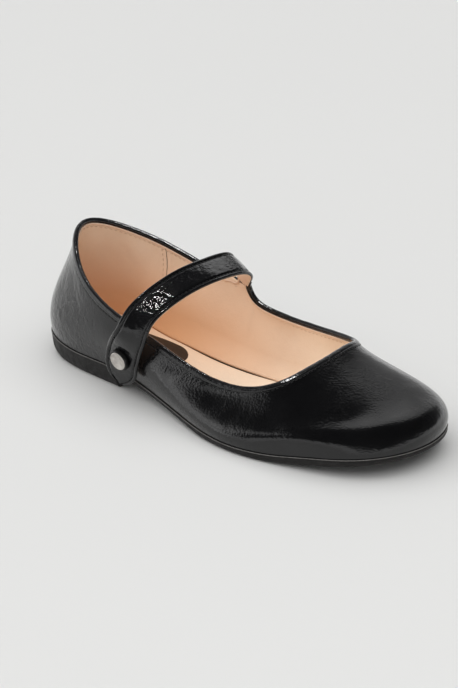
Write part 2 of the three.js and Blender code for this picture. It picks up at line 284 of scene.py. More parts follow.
def face_outwards(mesh):
    """Turns a closed mesh inside out if its signed volume is negative."""
    mesh.calc_loop_triangles()
    corners = np.empty(len(mesh.loop_triangles) * 3, int)
    mesh.loop_triangles.foreach_get("vertices", corners)
    places = np.empty(len(mesh.vertices) * 3)
    mesh.vertices.foreach_get("co", places)
    a, b, c = places.reshape(-1, 3)[corners.reshape(-1, 3)].transpose(1, 0, 2)
    if np.einsum("ij,ij->i", a, np.cross(b, c)).sum() < 0:
        mesh.flip_normals()


def lattice_noise(points, size, seed):
    """Smooth noise between -1 and 1 with features of about one size, the same on each run."""
    generator = np.random.default_rng(seed)
    table = generator.uniform(-1, 1, 4096)
    cell = np.floor(points / size).astype(int)
    f = points / size - cell
    f = f * f * f * (f * (6 * f - 15) + 10)
    total = 0.0
    for corner in range(8):
        offset = np.array([corner & 1, corner >> 1 & 1, corner >> 2])
        key = cell + offset
        index = (key[..., 0] * 73856093 ^ key[..., 1] * 19349663 ^ key[..., 2] * 83492791) % 4096
        weight = np.prod(np.where(offset, f, 1 - f), axis=-1)
        total = total + weight * table[index]
    return total


def near_path(points, path):
    """Each point's distance from a path of a few points, and how far along it lies, 0 to 1."""
    best = np.full(points.shape[:-1], 1e9)
    share = np.zeros(points.shape[:-1])
    count = len(path) - 1
    for k in range(count):
        run = path[k + 1] - path[k]
        t = np.clip(((points - path[k]) @ run) / (run @ run), 0, 1)
        distance = np.linalg.norm(points - (path[k] + t[..., None] * run), axis=-1)
        closer = distance < best
        best = np.where(closer, distance, best)
        share = np.where(closer, (k + t) / count, share)
    return best, share


def fold(points, path, width, depth):
    """A soft trough along a path, with a low ridge on each side. Negative depth makes a ridge."""
    distance, share = near_path(points, path)
    across = (distance / width) ** 2
    ends = smooth(0, 0.25, share) * smooth(1, 0.75, share)
    return -depth * ends * (1 - 0.55 * across) * np.exp(-across)


def ribbon(path, up, side, profile, size=1.0):
    """Loops of a (side, up) profile carried along a path, each at its own size."""
    profile = np.array(profile)
    shape = side[:, None] * profile[None, :, :1] + up[:, None] * profile[None, :, 1:]
    return path[:, None] + shape * np.reshape(size, (-1, 1, 1))


def fold_heights(points, table, place):
    """The heights of a table's folds: turnA vA turnB vB width depth, on the face that place() gives."""
    share = np.linspace(0, 1, 9)
    total = np.zeros(points.shape[:-1])
    for turn_a, v_a, turn_b, v_b, width, depth in table:
        path = place(turn_a + (turn_b - turn_a) * share, v_a + (v_b - v_a) * share)
        total += fold(points, path, width, depth)
    return total


def soften(values, times):
    """Averages each row of an array with its neighbours, and keeps both ends."""
    for _ in range(times):
        blended = (np.roll(values, 1, 0) + 2 * values + np.roll(values, -1, 0)) / 4
        blended[0], blended[-1] = values[0], values[-1]
        values = blended
    return values


def along_path(points, spacing):
    """Places at one spacing along a path, and the path's direction at each."""
    steps = np.linalg.norm(np.diff(points, axis=0), axis=1)
    lengths = np.concatenate([[0], np.cumsum(steps)])
    count = int(lengths[-1] / spacing)
    at = (np.arange(count) + 0.5) * lengths[-1] / count
    centre = np.stack([np.interp(at, lengths, points[:, k]) for k in range(3)], -1)
    ahead = np.stack([np.interp(at + 0.5, lengths, points[:, k]) for k in range(3)], -1)
    behind = np.stack([np.interp(at - 0.5, lengths, points[:, k]) for k in range(3)], -1)
    return centre, unit(ahead - behind), at


def stitch_points(centres, directions, normals, length, radius):
    """Small rounded thread stitches, bowed into the leather at both ends."""
    sides = 6
    rings = [(-0.5, 0.35, -1.0), (-0.38, 0.9, -0.25), (0.0, 1.0, 0.0), (0.38, 0.9, -0.25), (0.5, 0.35, -1.0)]
    across = unit(np.cross(directions, normals))
    angles = np.arange(sides) * 2 * math.pi / sides
    points = []
    for shift, size, sink in rings:
        middle = centres + directions * shift * length + normals * sink * radius
        for angle in angles:
            points.append(middle + (across * math.cos(angle) + normals * math.sin(angle)) * size * radius)
    points = np.stack(points, 1)
    count = len(rings) * sides
    template = grid_faces(len(rings), sides, close_columns=True)
    template += [list(range(sides)), list(range(count - sides, count))[::-1]]
    faces = [[k * count + corner for corner in face] for k in range(len(centres)) for face in template]
    return points.reshape(-1, 3), faces


def stitch_along(name, path, normals, spacing, length, radius, material):
    centres, directions, at = along_path(path, spacing)
    steps = np.linalg.norm(np.diff(path, axis=0), axis=1)
    lengths = np.concatenate([[0], np.cumsum(steps)])
    ways = unit(np.stack([np.interp(at, lengths, normals[:, k]) for k in range(3)], -1))
    points, faces = stitch_points(centres, directions, ways, length, radius)
    finish_piece(name, points, faces, material)


# ---- Materials ----
class Nodes:
    """A short way to write a node tree."""

    def __init__(self, tree, place):
        self.tree = tree
        self.place = tree.nodes.new("ShaderNodeTexCoord").outputs[place]

    def feed(self, socket, value):
        """Links a value that comes from a node, and sets a plain one."""
        if isinstance(value, bpy.types.NodeSocket):
            self.tree.links.new(value, socket)
        else:
            socket.default_value = value

    def node(self, kind, **inputs):
        node = self.tree.nodes.new(kind)
        for key, value in inputs.items():
            self.feed(node.inputs[key.replace("_", " ")], value)
        return node

    def noise(self, scale, detail=2.0, roughness=0.5, distortion=0.0, stretch=None):
        where = self.place
        if stretch:
            where = self.node("ShaderNodeMapping", Vector=where, Scale=stretch).outputs["Vector"]
        return self.node("ShaderNodeTexNoise", Vector=where, Scale=scale, Detail=detail,
                         Roughness=roughness, Distortion=distortion).outputs["Fac"]

    def cells(self, scale, feature="F1", place=None):
        node = self.node("ShaderNodeTexVoronoi", Vector=place or self.place, Scale=scale)
        node.feature = feature
        return node.outputs["Distance"]

    def warped(self, scale, amount):
        """The place, pushed about by a noise so that cells lose their even shape."""
        push = self.node("ShaderNodeTexNoise", Vector=self.place, Scale=scale, Detail=2.0).outputs["Color"]
        moved = self.tree.nodes.new("ShaderNodeVectorMath")
        moved.operation = "MULTIPLY_ADD"
        for socket, value in zip(moved.inputs, (push, (amount,) * 3, self.place)):
            self.feed(socket, value)
        return moved.outputs["Vector"]

    def toward(self, direction):
        """How far the place lies in a direction."""
        dot = self.tree.nodes.new("ShaderNodeVectorMath")
        dot.operation = "DOT_PRODUCT"
        self.feed(dot.inputs[0], self.place)
        self.feed(dot.inputs[1], direction)
        return dot.outputs["Value"]

    def ramp(self, value, low, high, bottom=0.0, top=1.0):
        node = self.node("ShaderNodeMapRange", Value=value, From_Min=low, From_Max=high,
                         To_Min=bottom, To_Max=top)
        node.interpolation_type = "SMOOTHSTEP"
        return node.outputs["Result"]

    def maths(self, operation, a, b):
        node = self.tree.nodes.new("ShaderNodeMath")
        node.operation = operation
        for socket, value in zip(node.inputs, (a, b)):
            self.feed(socket, value)
        return node.outputs["Value"]

    def times(self, a, b):
        return self.maths("MULTIPLY", a, b)

    def plus(self, a, b):
        return self.maths("ADD", a, b)

    def mix(self, share, a, b):
        node = self.tree.nodes.new("ShaderNodeMix")
        node.data_type = "RGBA"
        self.feed(node.inputs[0], share)
        for socket, colour in zip((node.inputs[6], node.inputs[7]), (a, b)):
            self.feed(socket, (*colour, 1.0) if isinstance(colour, tuple) else colour)
        return node.outputs[2]

    def axis(self, name):
        return self.node("ShaderNodeSeparateXYZ", Vector=self.place).outputs[name]

    def bump(self, value, distance, after=None):
        node = self.node("ShaderNodeBump", Height=value, Distance=distance * MM, Strength=1.0)
        if after:
            self.feed(node.inputs["Normal"], after)
        return node.outputs["Normal"]


class MaterialNodes(Nodes):
    def __init__(self, name):
        self.material = bpy.data.materials.new(name)
        self.material.use_nodes = True
        super().__init__(self.material.node_tree, "Object")
        self.shader = self.tree.nodes["Principled BSDF"]

    def set(self, **values):
        for key, value in values.items():
            self.feed(self.shader.inputs[key.replace("_", " ")], value)
        return self.material


def patent_leather(name, crinkle=1.0, wave=1.0, rumpled=0.0):
    """Black leather under a thick clear film, wrinkled finely in patches and rumpled at the heel."""
    n = MaterialNodes(name)
    swell = n.noise(70, detail=1.0)
    patches = n.ramp(n.noise(55, detail=2), 0.34, 0.64, 0.25, 1.0)
    shards = n.cells(900, "SMOOTH_F1", place=n.warped(500, 0.0012))
    creases = n.noise(1150, detail=2.0, roughness=0.55, distortion=1.2)
    wrinkles = n.times(n.plus(shards, n.times(creases, 0.5)), patches)
    behind = n.ramp(n.axis("X"), -0.050, -0.090)
    rumple = n.times(n.noise(210, detail=3.0, distortion=1.0), behind)
    normal = n.bump(swell, 0.08 * wave)
    normal = n.bump(rumple, 0.45 * rumpled, after=normal)
    normal = n.bump(wrinkles, 0.125 * crinkle, after=normal)
    tone = n.mix(n.noise(60, detail=3), (0.002, 0.002, 0.0023), (0.0055, 0.0055, 0.006))
    return n.set(Base_Color=tone, Roughness=0.4, Specular_IOR_Level=0.08, Normal=normal,
                 Coat_Weight=1.0, Coat_Roughness=0.03, Coat_IOR=1.46, Coat_Normal=normal)


def lining_leather(name, pale, warm_tone_and_shade, grain=1.0):
    """Soft unfinished pigskin, with a faint grain, and painted shade: a darker, warmer tone low down towards
    the heel.
    """
    n = MaterialNodes(name)
    cloud = n.noise(55, detail=4, roughness=0.6)
    pores = n.cells(1500)
    # Low down towards the heel the tone turns darker and warmer: painted shade of the heel's hollow.
    back = n.ramp(n.axis("X"), -0.070, 0.050, 1.0, 0.0)
    deep_shade = n.ramp(n.axis("Z"), 0.060, 0.014, 0.0, 1.0)
    tone = n.mix(n.times(back, deep_shade), pale, warm_tone_and_shade)
    mottled = n.mix(n.ramp(cloud, 0.3, 0.75, 0.0, 0.14), tone, warm_tone_and_shade)
    speck = n.mix(n.ramp(pores, 0.0, 0.25, 0.35, 0.0), mottled, tuple(0.72 * c for c in warm_tone_and_shade))
    normal = n.bump(n.noise(900, detail=3), 0.06 * grain)
    normal = n.bump(cloud, 0.4 * grain, after=normal)
    return n.set(Base_Color=speck, Roughness=0.58, Specular_IOR_Level=0.3, Normal=normal)


def rubber(name, dark, light):
    n = MaterialNodes(name)
    speckle = n.noise(1700, detail=3, roughness=0.75)
    tone = n.mix(n.ramp(speckle, 0.35, 0.75), dark, light)
    normal = n.bump(speckle, 0.22)
    rough = n.ramp(n.noise(300, detail=3), 0.3, 0.7, 0.5, 0.68)
    return n.set(Base_Color=tone, Roughness=rough, Specular_IOR_Level=0.3, Normal=normal)


def satin_metal(name):
    n = MaterialNodes(name)
    brushed = n.noise(1400, detail=3, roughness=0.7, stretch=(1.0, 1.0, 0.25))
    spots = n.noise(420, detail=3, roughness=0.6)
    tone = n.mix(n.ramp(spots, 0.3, 0.7), (0.46, 0.43, 0.40), (0.66, 0.63, 0.59))
    normal = n.bump(n.plus(brushed, spots), 0.05)
    rough = n.ramp(spots, 0.3, 0.7, 0.30, 0.44)
    return n.set(Base_Color=tone, Metallic=1.0, Roughness=rough, Normal=normal)


def dark_metal(name):
    n = MaterialNodes(name)
    spots = n.noise(500, detail=3)
    tone = n.mix(spots, (0.015, 0.015, 0.016), (0.035, 0.034, 0.033))
    rough = n.ramp(spots, 0.3, 0.7, 0.16, 0.26)
    return n.set(Base_Color=tone, Metallic=0.6, Roughness=rough, Normal=n.bump(spots, 0.02))


def thread(name, dark, light):
    """Twisted sewing thread."""
    n = MaterialNodes(name)
    twist = n.noise(2600, detail=1, stretch=(1.0, 1.0, 2.0))
    tone = n.mix(n.ramp(twist, 0.35, 0.65), dark, light)
    return n.set(Base_Color=tone, Roughness=0.5, Normal=n.bump(twist, 0.05))


PATENT = patent_leather("patent_upper", rumpled=1.0)
PATENT_STRAP = patent_leather("patent_strap", crinkle=1.3, wave=2.6)
PATENT_BEAD = patent_leather("patent_binding", crinkle=1.5, wave=1.2)
# The lining's pale tone, and the darker warm tone that paints the shade deep in the heel and also colours the
# mottling.
PALE = (0.91, 0.72, 0.545)
WARM_TONE_AND_SHADE = (0.66, 0.345, 0.175)
LINING = lining_leather("lining_pigskin", PALE, WARM_TONE_AND_SHADE)
# The insole is painted darker and warmer at its heel end too, as shade.
SOCK = lining_leather("insole_sock", (0.93, 0.79, 0.63), (0.85, 0.61, 0.43))
LIP = lining_leather("lining_edge", (0.88, 0.66, 0.50), (0.82, 0.56, 0.40), grain=0.4)
PATCH = lining_leather("insole_patch", (0.046, 0.028, 0.019), (0.042, 0.026, 0.017))
RUBBER = rubber("sole_rubber", (0.005, 0.0047, 0.0047), (0.022, 0.020, 0.019))
# Pale grey rubber for the thin bead at the feather edge: a painted highlight.
PAINTED_FEATHER_HIGHLIGHT = rubber("feather_highlight_line", (0.10, 0.097, 0.092), (0.26, 0.25, 0.24))
SATIN = satin_metal("snap_face")
DARK_RIM = dark_metal("snap_rim")
BLACK_THREAD = thread("thread_black", (0.006, 0.006, 0.006), (0.02, 0.02, 0.02))
BEIGE_THREAD = thread("thread_beige", (0.56, 0.37, 0.24), (0.76, 0.55, 0.39))
# A dark brown thread for a close line along the lining's seam: painted shade of the seam's fold.
SEAM_SHADE_THREAD = thread("thread_seam_shade", (0.10, 0.05, 0.03), (0.20, 0.11, 0.07))


# ---- The upper's leather ----
LEATHER = 1.1  # the leather's share of the wall; the lining is the rest

# The main creases on the upper, from one place to another: turnA vA turnB vB width depth
CREASES = [
    # soft folds down the outer heel quarter, under the collar
    [1.50, 0.86, 2.30, 0.62, 1.8, 0.16],
    [1.75, 0.93, 2.50, 0.76, 1.4, -0.13],
    [1.90, 0.80, 2.20, 0.62, 1.3, 0.14],
    [1.20, 0.70, 1.75, 0.44, 2.2, 0.14],
    [1.35, 0.58, 2.05, 0.36, 2.0, -0.10],
    # the same on the inner heel quarter
    [16.55, 0.88, 15.45, 0.55, 2.6, 0.20],
    [16.30, 0.95, 15.20, 0.78, 2.0, -0.14],
    # behind the strap's foot on the inner quarter
    [14.55, 0.97, 14.35, 0.62, 2.2, 0.16],
    [14.05, 0.98, 13.75, 0.66, 2.2, 0.16],
    [14.30, 0.90, 14.02, 0.50, 2.6, -0.14],
    # where the ball of the foot bends the vamp
    [5.60, 0.92, 6.35, 0.55, 4.5, 0.05],
    [11.40, 0.92, 11.10, 0.34, 4.5, 0.16],
    [10.70, 0.88, 10.55, 0.30, 4.5, -0.12],
    # across the toe box
    [7.60, 0.78, 9.00, 0.70, 6.0, 0.04],
    [9.10, 0.74, 10.4, 0.66, 6.0, -0.05],
]


# The toe box stands a little fuller than the last, so that its wall is upright
TOE_FULLNESS = 3.3
TOE_SHOULDER = 0.34  # the shoulder's place up the wall
TOE_SHOULDER_SPREAD = 0.15


def toe_fullness(turn, v):
    about_toe = smooth(5.8, 7.6, turn) * smooth(9.9, 8.6, turn)
    return TOE_FULLNESS * about_toe * np.exp(-((v - TOE_SHOULDER) / TOE_SHOULDER_SPREAD) ** 2)


def make_upper_leather():
    v = np.linspace(0, 1, SKIN_ROWS)
    outside = outer_point(TURNS[None, :], v[:, None])
    lift = fold_heights(outside, CREASES, outer_point) + toe_fullness(TURNS[None, :], v[:, None])
    lift += 0.025 * lattice_noise(outside, 11.0, 3) + 0.012 * lattice_noise(outside, 4.2, 4)
    lift *= smooth(0, 0.06, v)[:, None] * smooth(1, 0.95, v)[:, None]
    outside = outside - inward_at(TURNS[None, :], v[:, None]) * lift[..., None]
    hidden = np.linspace(1, 0, 9)
    inside = wall_point(TURNS[None, :], hidden[:, None], LEATHER)
    points = np.concatenate([outside, inside])
    faces = grid_faces(len(points), COLUMNS, close_rows=True, close_columns=True)
    finish_piece("upper_leather", points, faces, PATENT, ["upper"])


# ---- The lining, which rolls in over the insole's edge on the inner side ----
LEDGE = 3.0  # how far inside the feather edge the lining's foot ends
LEDGE_INNER = 7.2  # and how much further along the inner waist
LEDGE_RISE = 0.3
ROLL = 0.17  # where the roll leaves the wall, as a share of its height


def ledge_inset(turn):
    turn = turn % ROUND
    return LEDGE + LEDGE_INNER * smooth(11.4, 13.0, turn) * smooth(16.3, 14.9, turn)


def insole_top(x):
    return height(SEAT, x) + GAP + INSOLE_THICKNESS


def lining_face(turn, v):
    return wall_point(turn, v, WALL)


def make_lining():
    inset = ledge_inset(TURNS)
    edge = outline_point(TURNS, -inset, 0)
    edge[:, 2] = insole_top(edge[:, 0]) + LEDGE_RISE
    wall_v = np.linspace(ROLL, 1, LINING_ROWS)
    wall = lining_face(TURNS[None, :], wall_v[:, None])
    corner = outline_point(TURNS, -(WALL + 0.6), 0)
    corner[:, 2] = insole_top(corner[:, 0]) + LEDGE_RISE + 0.1
    steps = np.linspace(0, 1, 12)[:-1, None, None]
    roll = (1 - steps) ** 2 * edge + 2 * (1 - steps) * steps * corner + steps ** 2 * wall[0]
    under = edge - UP * (LEDGE_RISE + 0.9)
    foot = outline_point(TURNS, -(LEATHER + 0.1), 0)
    foot[:, 2] = height(SEAT, foot[:, 0]) + GAP + 0.2
    hidden = np.linspace(0, 1, 7)[1:]
    back = wall_point(TURNS[None, :], hidden[:, None], LEATHER + 0.1)
    ripple = 0.10 * lattice_noise(wall, 13.0, 11) + 0.05 * lattice_noise(wall, 5.0, 12)
    ripple += fold_heights(wall, LINING_FOLDS, lining_face)
    ripple *= smooth(1, 0.93, wall_v)[:, None] * smooth(ROLL, ROLL + 0.15, wall_v)[:, None]
    wall = wall + inward_at(TURNS[None, :], wall_v[:, None]) * ripple[..., None]
    points = np.concatenate([roll, wall, back[::-1], foot[None], under[None]])
    faces = grid_faces(len(points), COLUMNS, close_rows=True, close_columns=True)
    finish_piece("lining", points, faces, LINING)


# The lining's seam on the inner side, and soft puckers: turnA vA turnB vB width depth
LINING_FOLDS = [
    [15.62, 0.98, 15.66, 0.30, 1.1, 0.50],
    [16.9, 0.92, 16.2, 0.45, 4.0, 0.25],
    [1.6, 0.90, 2.6, 0.60, 4.0, 0.25],
    [3.6, 0.85, 4.5, 0.45, 3.5, 0.20],
]


# ---- The strap's path ----
def strap_row(t):
    return through_rows(STRAP, np.clip(t, 0, 1) * (len(STRAP) - 1))


def strap_frame(t):
    t = np.asarray(t, float)
    row = strap_row(t)
    along = unit(strap_row(t + 0.005)[..., :3] - strap_row(t - 0.005)[..., :3])
    front = np.stack([np.ones(t.shape), row[..., 3], row[..., 4]], -1)
    front = unit(front - along * (front * along).sum(-1, keepdims=True))
    return row[..., :3], along, front, unit(np.cross(along, front))


STRAP_SHARES = np.linspace(0, 1, 1201)
STRAP_RUN = np.cumsum(np.linalg.norm(np.diff(strap_row(STRAP_SHARES)[:, :3], axis=0), axis=1))
STRAP_RUN = np.concatenate([[0], STRAP_RUN])
STRAP_LENGTH = STRAP_RUN[-1]


def strap_parameter(length):
    return np.interp(length, STRAP_RUN, STRAP_SHARES)


def strap_half(length):
    """Half the strap's width: a neck that flares, and a round tip."""
    neck = STRAP_NECK + (STRAP_WIDTH - STRAP_NECK) * smooth(0, STRAP_FLARE, length)
    radius = STRAP_END_WIDTH / 2
    to_tip = STRAP_LENGTH - length
    width = STRAP_END_WIDTH + (neck - STRAP_END_WIDTH) * smooth(radius, STRAP_END_FLARE, to_tip)
    round_end = np.clip(to_tip, 0, radius)
    return np.minimum(width / 2, np.sqrt(np.maximum(radius ** 2 - (radius - round_end) ** 2, 0)))


# The foot of the strap lies on the inner quarter: how far down it goes and how it sinks in
FOOT_LENGTH = 7.0
FOOT_LIFT = 0.25
FOOT_SINK = 0.75
FOOT_TURN = 14.13  # where it lies on the quarter
FOOT_WALL = 34.0  # the height of the wall there


def strap_stations():
    """Lengths, centres, fronts and outward normals, with the foot that runs down the quarter."""
    tip = STRAP_LENGTH - STRAP_END_WIDTH / 2
    run = np.linspace(0, tip, STRAP_STATIONS)
    turn = np.linspace(0, math.pi / 2, 26)[1:]
    lengths = np.concatenate([run, tip + STRAP_END_WIDTH / 2 * np.sin(turn) * 0.999])
    centre, along, front, outward = strap_frame(strap_parameter(lengths))
    down = np.linspace(FOOT_LENGTH, 0, 16)[:-1]
    top = outer_point(FOOT_TURN, 1.0)
    first = centre[0]
    v = 1 - down / FOOT_WALL
    wall = outer_point(FOOT_TURN, v)
    wall_out = -inward_at(FOOT_TURN, v)
    lift = FOOT_LIFT - FOOT_SINK * (down / FOOT_LENGTH) ** 2
    wall = wall + wall_out * lift[:, None] + (first - top) * smooth(FOOT_LENGTH, 0, down)[:, None] * [1, 0, 0]
    blend = smooth(0, 4, down)[:, None]
    below = first - along[0] * down[:, None]
    foot = below * (1 - blend) + wall * blend
    foot_out = unit(outward[0] * (1 - blend) + wall_out * blend)
    centre = np.concatenate([foot, centre])
    front = np.concatenate([np.repeat(front[:1], len(down), 0), front])
    outward = np.concatenate([foot_out, outward])
    lengths = np.concatenate([-down, lengths])
    centre[:20] = soften(centre[:20], 3)
    outward[:20] = unit(soften(outward[:20], 3))
    return lengths, centre, front, outward


# The strap's section from the rear edge to the front edge, as distance in from the edge and
# height over the outer face: a folded bead on each edge with a groove beside it
BEAD = [[0.10, -0.95], [0.0, -0.55], [0.12, -0.18], [0.45, 0.10], [0.95, 0.20], [1.45, 0.12],
        [1.80, -0.14], [2.10, -0.48], [2.35, -0.58], [2.65, -0.42], [3.0, -0.14], [3.6, 0.0]]
STRAP_MIDDLE = 30  # points across the flat between the beads
STRAP_BACK = 1.25  # depth of the leather's back, where the strap's lining starts
# The strap lining's section: the share of its half width, and the height over the outer face
STRAP_LINING = [[-1, -1.15], [-1, -2.0], [-0.93, -2.2], [0, -2.25], [0.93, -2.2], [1, -2.0], [1, -1.15]]

# Wrinkles across the strap: the length where each lies, its slant, width and depth
STRAP_WRINKLES = [
    [4.0, 0.2, 1.2, 0.20], [7.5, -0.3, 1.0, 0.16], [11.0, 0.4, 1.3, 0.18], [15.5, -0.2, 1.1, 0.12],
    [22.0, 0.3, 1.4, 0.10], [31.0, -0.5, 1.6, 0.08], [64.0, 0.5, 1.5, 0.08], [78.0, -0.4, 1.2, 0.12],
    [82.5, 0.2, 1.0, 0.14], [86.0, 0.5, 1.1, 0.14], [90.0, -0.3, 1.2, 0.12], [97.0, 0.3, 1.5, 0.10],
    [118.0, -0.2, 1.8, 0.08], [128.0, 0.3, 1.6, 0.08],
]


def strap_wrinkles(length, across):
    total = np.zeros(np.broadcast(length, across).shape)
    for at, slant, width, depth in STRAP_WRINKLES:
        distance = (length - at - slant * across) / width
        total -= depth * (1 - 0.6 * distance ** 2) * np.exp(-distance ** 2)
    return total


def strap_skin(lengths, half):
    """The outer face's points for each station: (across, height)."""
    bead = np.array(BEAD)
    room = np.minimum(half / 4.2, 1)[:, None]
    inset = bead[None, :, 0] * room
    rear = -half[:, None] + inset
    front = half[:, None] - inset[:, ::-1]
    flat = np.linspace(0, 1, STRAP_MIDDLE + 2)[1:-1]
    middle = rear[:, -1:] + (front[:, :1] - rear[:, -1:]) * flat
    across = np.concatenate([rear, middle, front], 1)
    level = np.broadcast_to(bead[:, 1], (len(half), len(bead)))
    rise = np.concatenate([level, np.zeros((len(half), STRAP_MIDDLE)), level[:, ::-1]], 1) * np.sqrt(room)
    crown = 0.35 * (1 - (across / np.maximum(half[:, None], 0.5)) ** 2)
    flatness = smooth(0.8, 3.2, half[:, None] - np.abs(across))
    rise = rise + crown + flatness * strap_wrinkles(lengths[:, None], across)
    return across, rise


def make_strap():
    lengths, centre, front, outward = strap_stations()
    half = np.maximum(strap_half(np.maximum(lengths, 0)), 0.35)
    across, rise = strap_skin(lengths, half)
    face = centre[:, None] + front[:, None] * across[..., None] + outward[:, None] * rise[..., None]
    shiver = 0.05 * lattice_noise(face, 2.6, 21) + 0.04 * lattice_noise(face, 1.4, 22)
    inner = smooth(1.5, 3.5, half[:, None] - np.abs(across))
    face = face + outward[:, None] * (shiver * inner)[..., None]
    back_across = np.linspace(0.97, -0.97, 9)[None, :] * half[:, None]
    back = centre[:, None] + front[:, None] * back_across[..., None] - outward[:, None] * STRAP_BACK
    loops = np.concatenate([face, back], 1)
    finish_piece("strap_leather", loops, capped_tube(loops), PATENT_STRAP, ["strap"])

    start = int(np.argmax(lengths >= 0))
    inset = 0.45 + 1.3 * smooth(STRAP_LENGTH - 46, STRAP_LENGTH - 34, lengths[start:])
    lining_half = np.maximum(half[start:] - inset, 0.3)
    section = np.array(STRAP_LINING)
    points = (centre[start:, None]
              + front[start:, None] * (section[None, :, :1] * lining_half[:, None, None])
              + outward[start:, None] * section[None, :, 1:])
    finish_piece("strap_lining", points, capped_tube(points), LIP)


# ---- The binding round the topline ----
# Its section: how far inwards over the edge, and how far up
BINDING = [[-0.10, -3.1], [-0.50, -2.7], [-0.66, -2.1], [-0.62, -1.3], [-0.45, -0.5], [-0.05, 0.15],
           [0.55, 0.48], [1.25, 0.48], [1.95, 0.20], [2.40, -0.45], [2.52, -1.3], [2.38, -2.1], [1.2, -2.4],
           [0.3, -3.1]]
LIP_SECTION = [[2.05, -1.9], [2.35, -1.7], [2.62, -1.9], [2.68, -2.5], [2.4, -3.0], [1.9, -2.9]]
BINDING_STEPS = 760
STRAP_EDGE_STEPS = 14  # how many more run up each edge of the strap
LIP_SHORT = 10  # how many the lip leaves out at each end
REAR_END_STEPS = 34  # over which it thins out towards the end behind the strap
REAR_END_SIZE = 0.35
FRONT_END_STEPS = 14  # and towards the end in front of it
FRONT_END_SIZE = 0.62


def topline_frame():
    """The topline's points with the way up the wall and into it, from tab corner to tab corner."""
    turn = np.linspace(13.9, 13.9 + ROUND, BINDING_STEPS * 3)
    x = last_at(turn)[:, 2]
    inner_side = (turn % ROUND) > TOE_TURN + 1
    on_tab = inner_side & (x > STRAP_ROOT - 0.2) & (x < TAB_FRONT + 0.2)
    keep = np.where(~on_tab)[0]
    first = keep[np.argmax(turn[keep] > 14.0)]
    kept = turn[first:][~on_tab[first:]]
    front_end = turn[:first][~on_tab[:first]] + ROUND
    turn = np.concatenate([kept, front_end[front_end > kept[-1]]])
    turn = np.linspace(turn[0], turn[-1], BINDING_STEPS)
    edge = outer_point(turn, 1.0)
    below = outer_point(turn, 0.95)
    inward = inward_at(turn, 0.97)
    tangent = unit(np.gradient(edge, axis=0))
    up = unit(edge - below)
    up = unit(up - tangent * (up * tangent).sum(-1, keepdims=True))
    inward = unit(inward - tangent * (inward * tangent).sum(-1, keepdims=True)
                  - up * (inward * up).sum(-1, keepdims=True))
    return edge, up, inward


def strap_edge_frame(side):
    """The first few millimetres of a strap's edge, leading away from the quarter."""
    lengths = np.linspace(0.6, 5.0, STRAP_EDGE_STEPS)
    centre, _, front, outward = strap_frame(strap_parameter(lengths))
    half = strap_half(lengths)[:, None]
    edge = centre + front * side * half
    return edge, front * side, -outward


def make_binding():
    edge, up, inward = topline_frame()
    rear_edge, rear_up, rear_in = strap_edge_frame(-1)
    front_edge, front_up, front_in = strap_edge_frame(1)
    edge = np.concatenate([rear_edge[::-1], edge, front_edge])
    up = np.concatenate([rear_up[::-1], up, front_up])
    inward = np.concatenate([rear_in[::-1], inward, front_in])
    edge = soften(edge, 5)
    up = unit(soften(up, 14))
    inward = unit(soften(inward, 14))
    size = np.ones(len(edge))
    size[:REAR_END_STEPS] = np.linspace(REAR_END_SIZE, 1, REAR_END_STEPS)
    size[-FRONT_END_STEPS:] = np.linspace(1, FRONT_END_SIZE, FRONT_END_STEPS)
    loops = ribbon(edge, up, inward, BINDING, size)
    pucker = 0.08 * lattice_noise(loops, 2.8, 31) + 0.05 * lattice_noise(loops, 7.0, 32)
    loops = loops + up[:, None] * pucker[..., None]
    finish_piece("topline_binding", loops, capped_tube(loops), PATENT_BEAD)

    lip = ribbon(*(row[LIP_SHORT:-LIP_SHORT] for row in (edge, up, inward)), LIP_SECTION)
    finish_piece("lining_lip", lip, capped_tube(lip), LIP)
    return [row[STRAP_EDGE_STEPS:-STRAP_EDGE_STEPS] for row in (edge, up, inward)]


def make_topline_stitches(edge, up, inward):
    outer_line = edge - up * 3.55 - inward * 0.18
    stitch_along("topline_stitches", outer_line, -inward, 2.6, 1.9, 0.26, BLACK_THREAD)
    inner_line = edge - up * 4.4 + inward * (WALL + 0.03)
    stitch_along("lining_stitches", inner_line, inward, 2.8, 1.9, 0.2, BEIGE_THREAD)


def make_strap_stitches():
    lengths = np.linspace(3, STRAP_LENGTH - 3.4, 420)
    centre, _, front, outward = strap_frame(strap_parameter(lengths))
    half = strap_half(lengths) - 2.35
    rear = centre - front * half[:, None]
    fore = centre + front * half[:, None]
    path = np.concatenate([rear, fore[::-1]]) - np.concatenate([outward, outward[::-1]]) * 0.12
    normals = np.concatenate([outward, outward[::-1]])
    stitch_along("strap_stitches", path, normals, 2.3, 1.7, 0.22, BLACK_THREAD)


# ---- The snap's patch inside the outer quarter, and the seam of the lining ----
SNAP_PATCH = [(78, 37), (78, 27), (79.5, 21.5), (85, 18.5), (92, 18), (98.5, 20.5), (101.8, 26), (102, 33)]


def lining_place(x, z, inner_side):
    """A place on the lining's face, from its length and height."""
    low, high = (TOE_TURN + 2, ROUND - 0.5) if inner_side else (0.5, TOE_TURN - 2)
    turns = np.linspace(low, high, 500)
    v = np.linspace(0.1, 1, 120)
    wall = lining_face(turns[:, None], v[None, :])
    normals = inward_at(turns[:, None], v[None, :])
    flat = wall.reshape(-1, 3)
    places, ways = [], []
    for at_x, at_z in zip(x, z):
        nearest = np.argmin((flat[:, 0] - at_x) ** 2 + (flat[:, 2] - at_z) ** 2)
        places.append(flat[nearest])
        ways.append(normals.reshape(-1, 3)[nearest])
    return np.array(places), np.array(ways)


SEAM_PLACE = 43.5
SNAP_PLACE = (90.5, 27.5)  # length and height


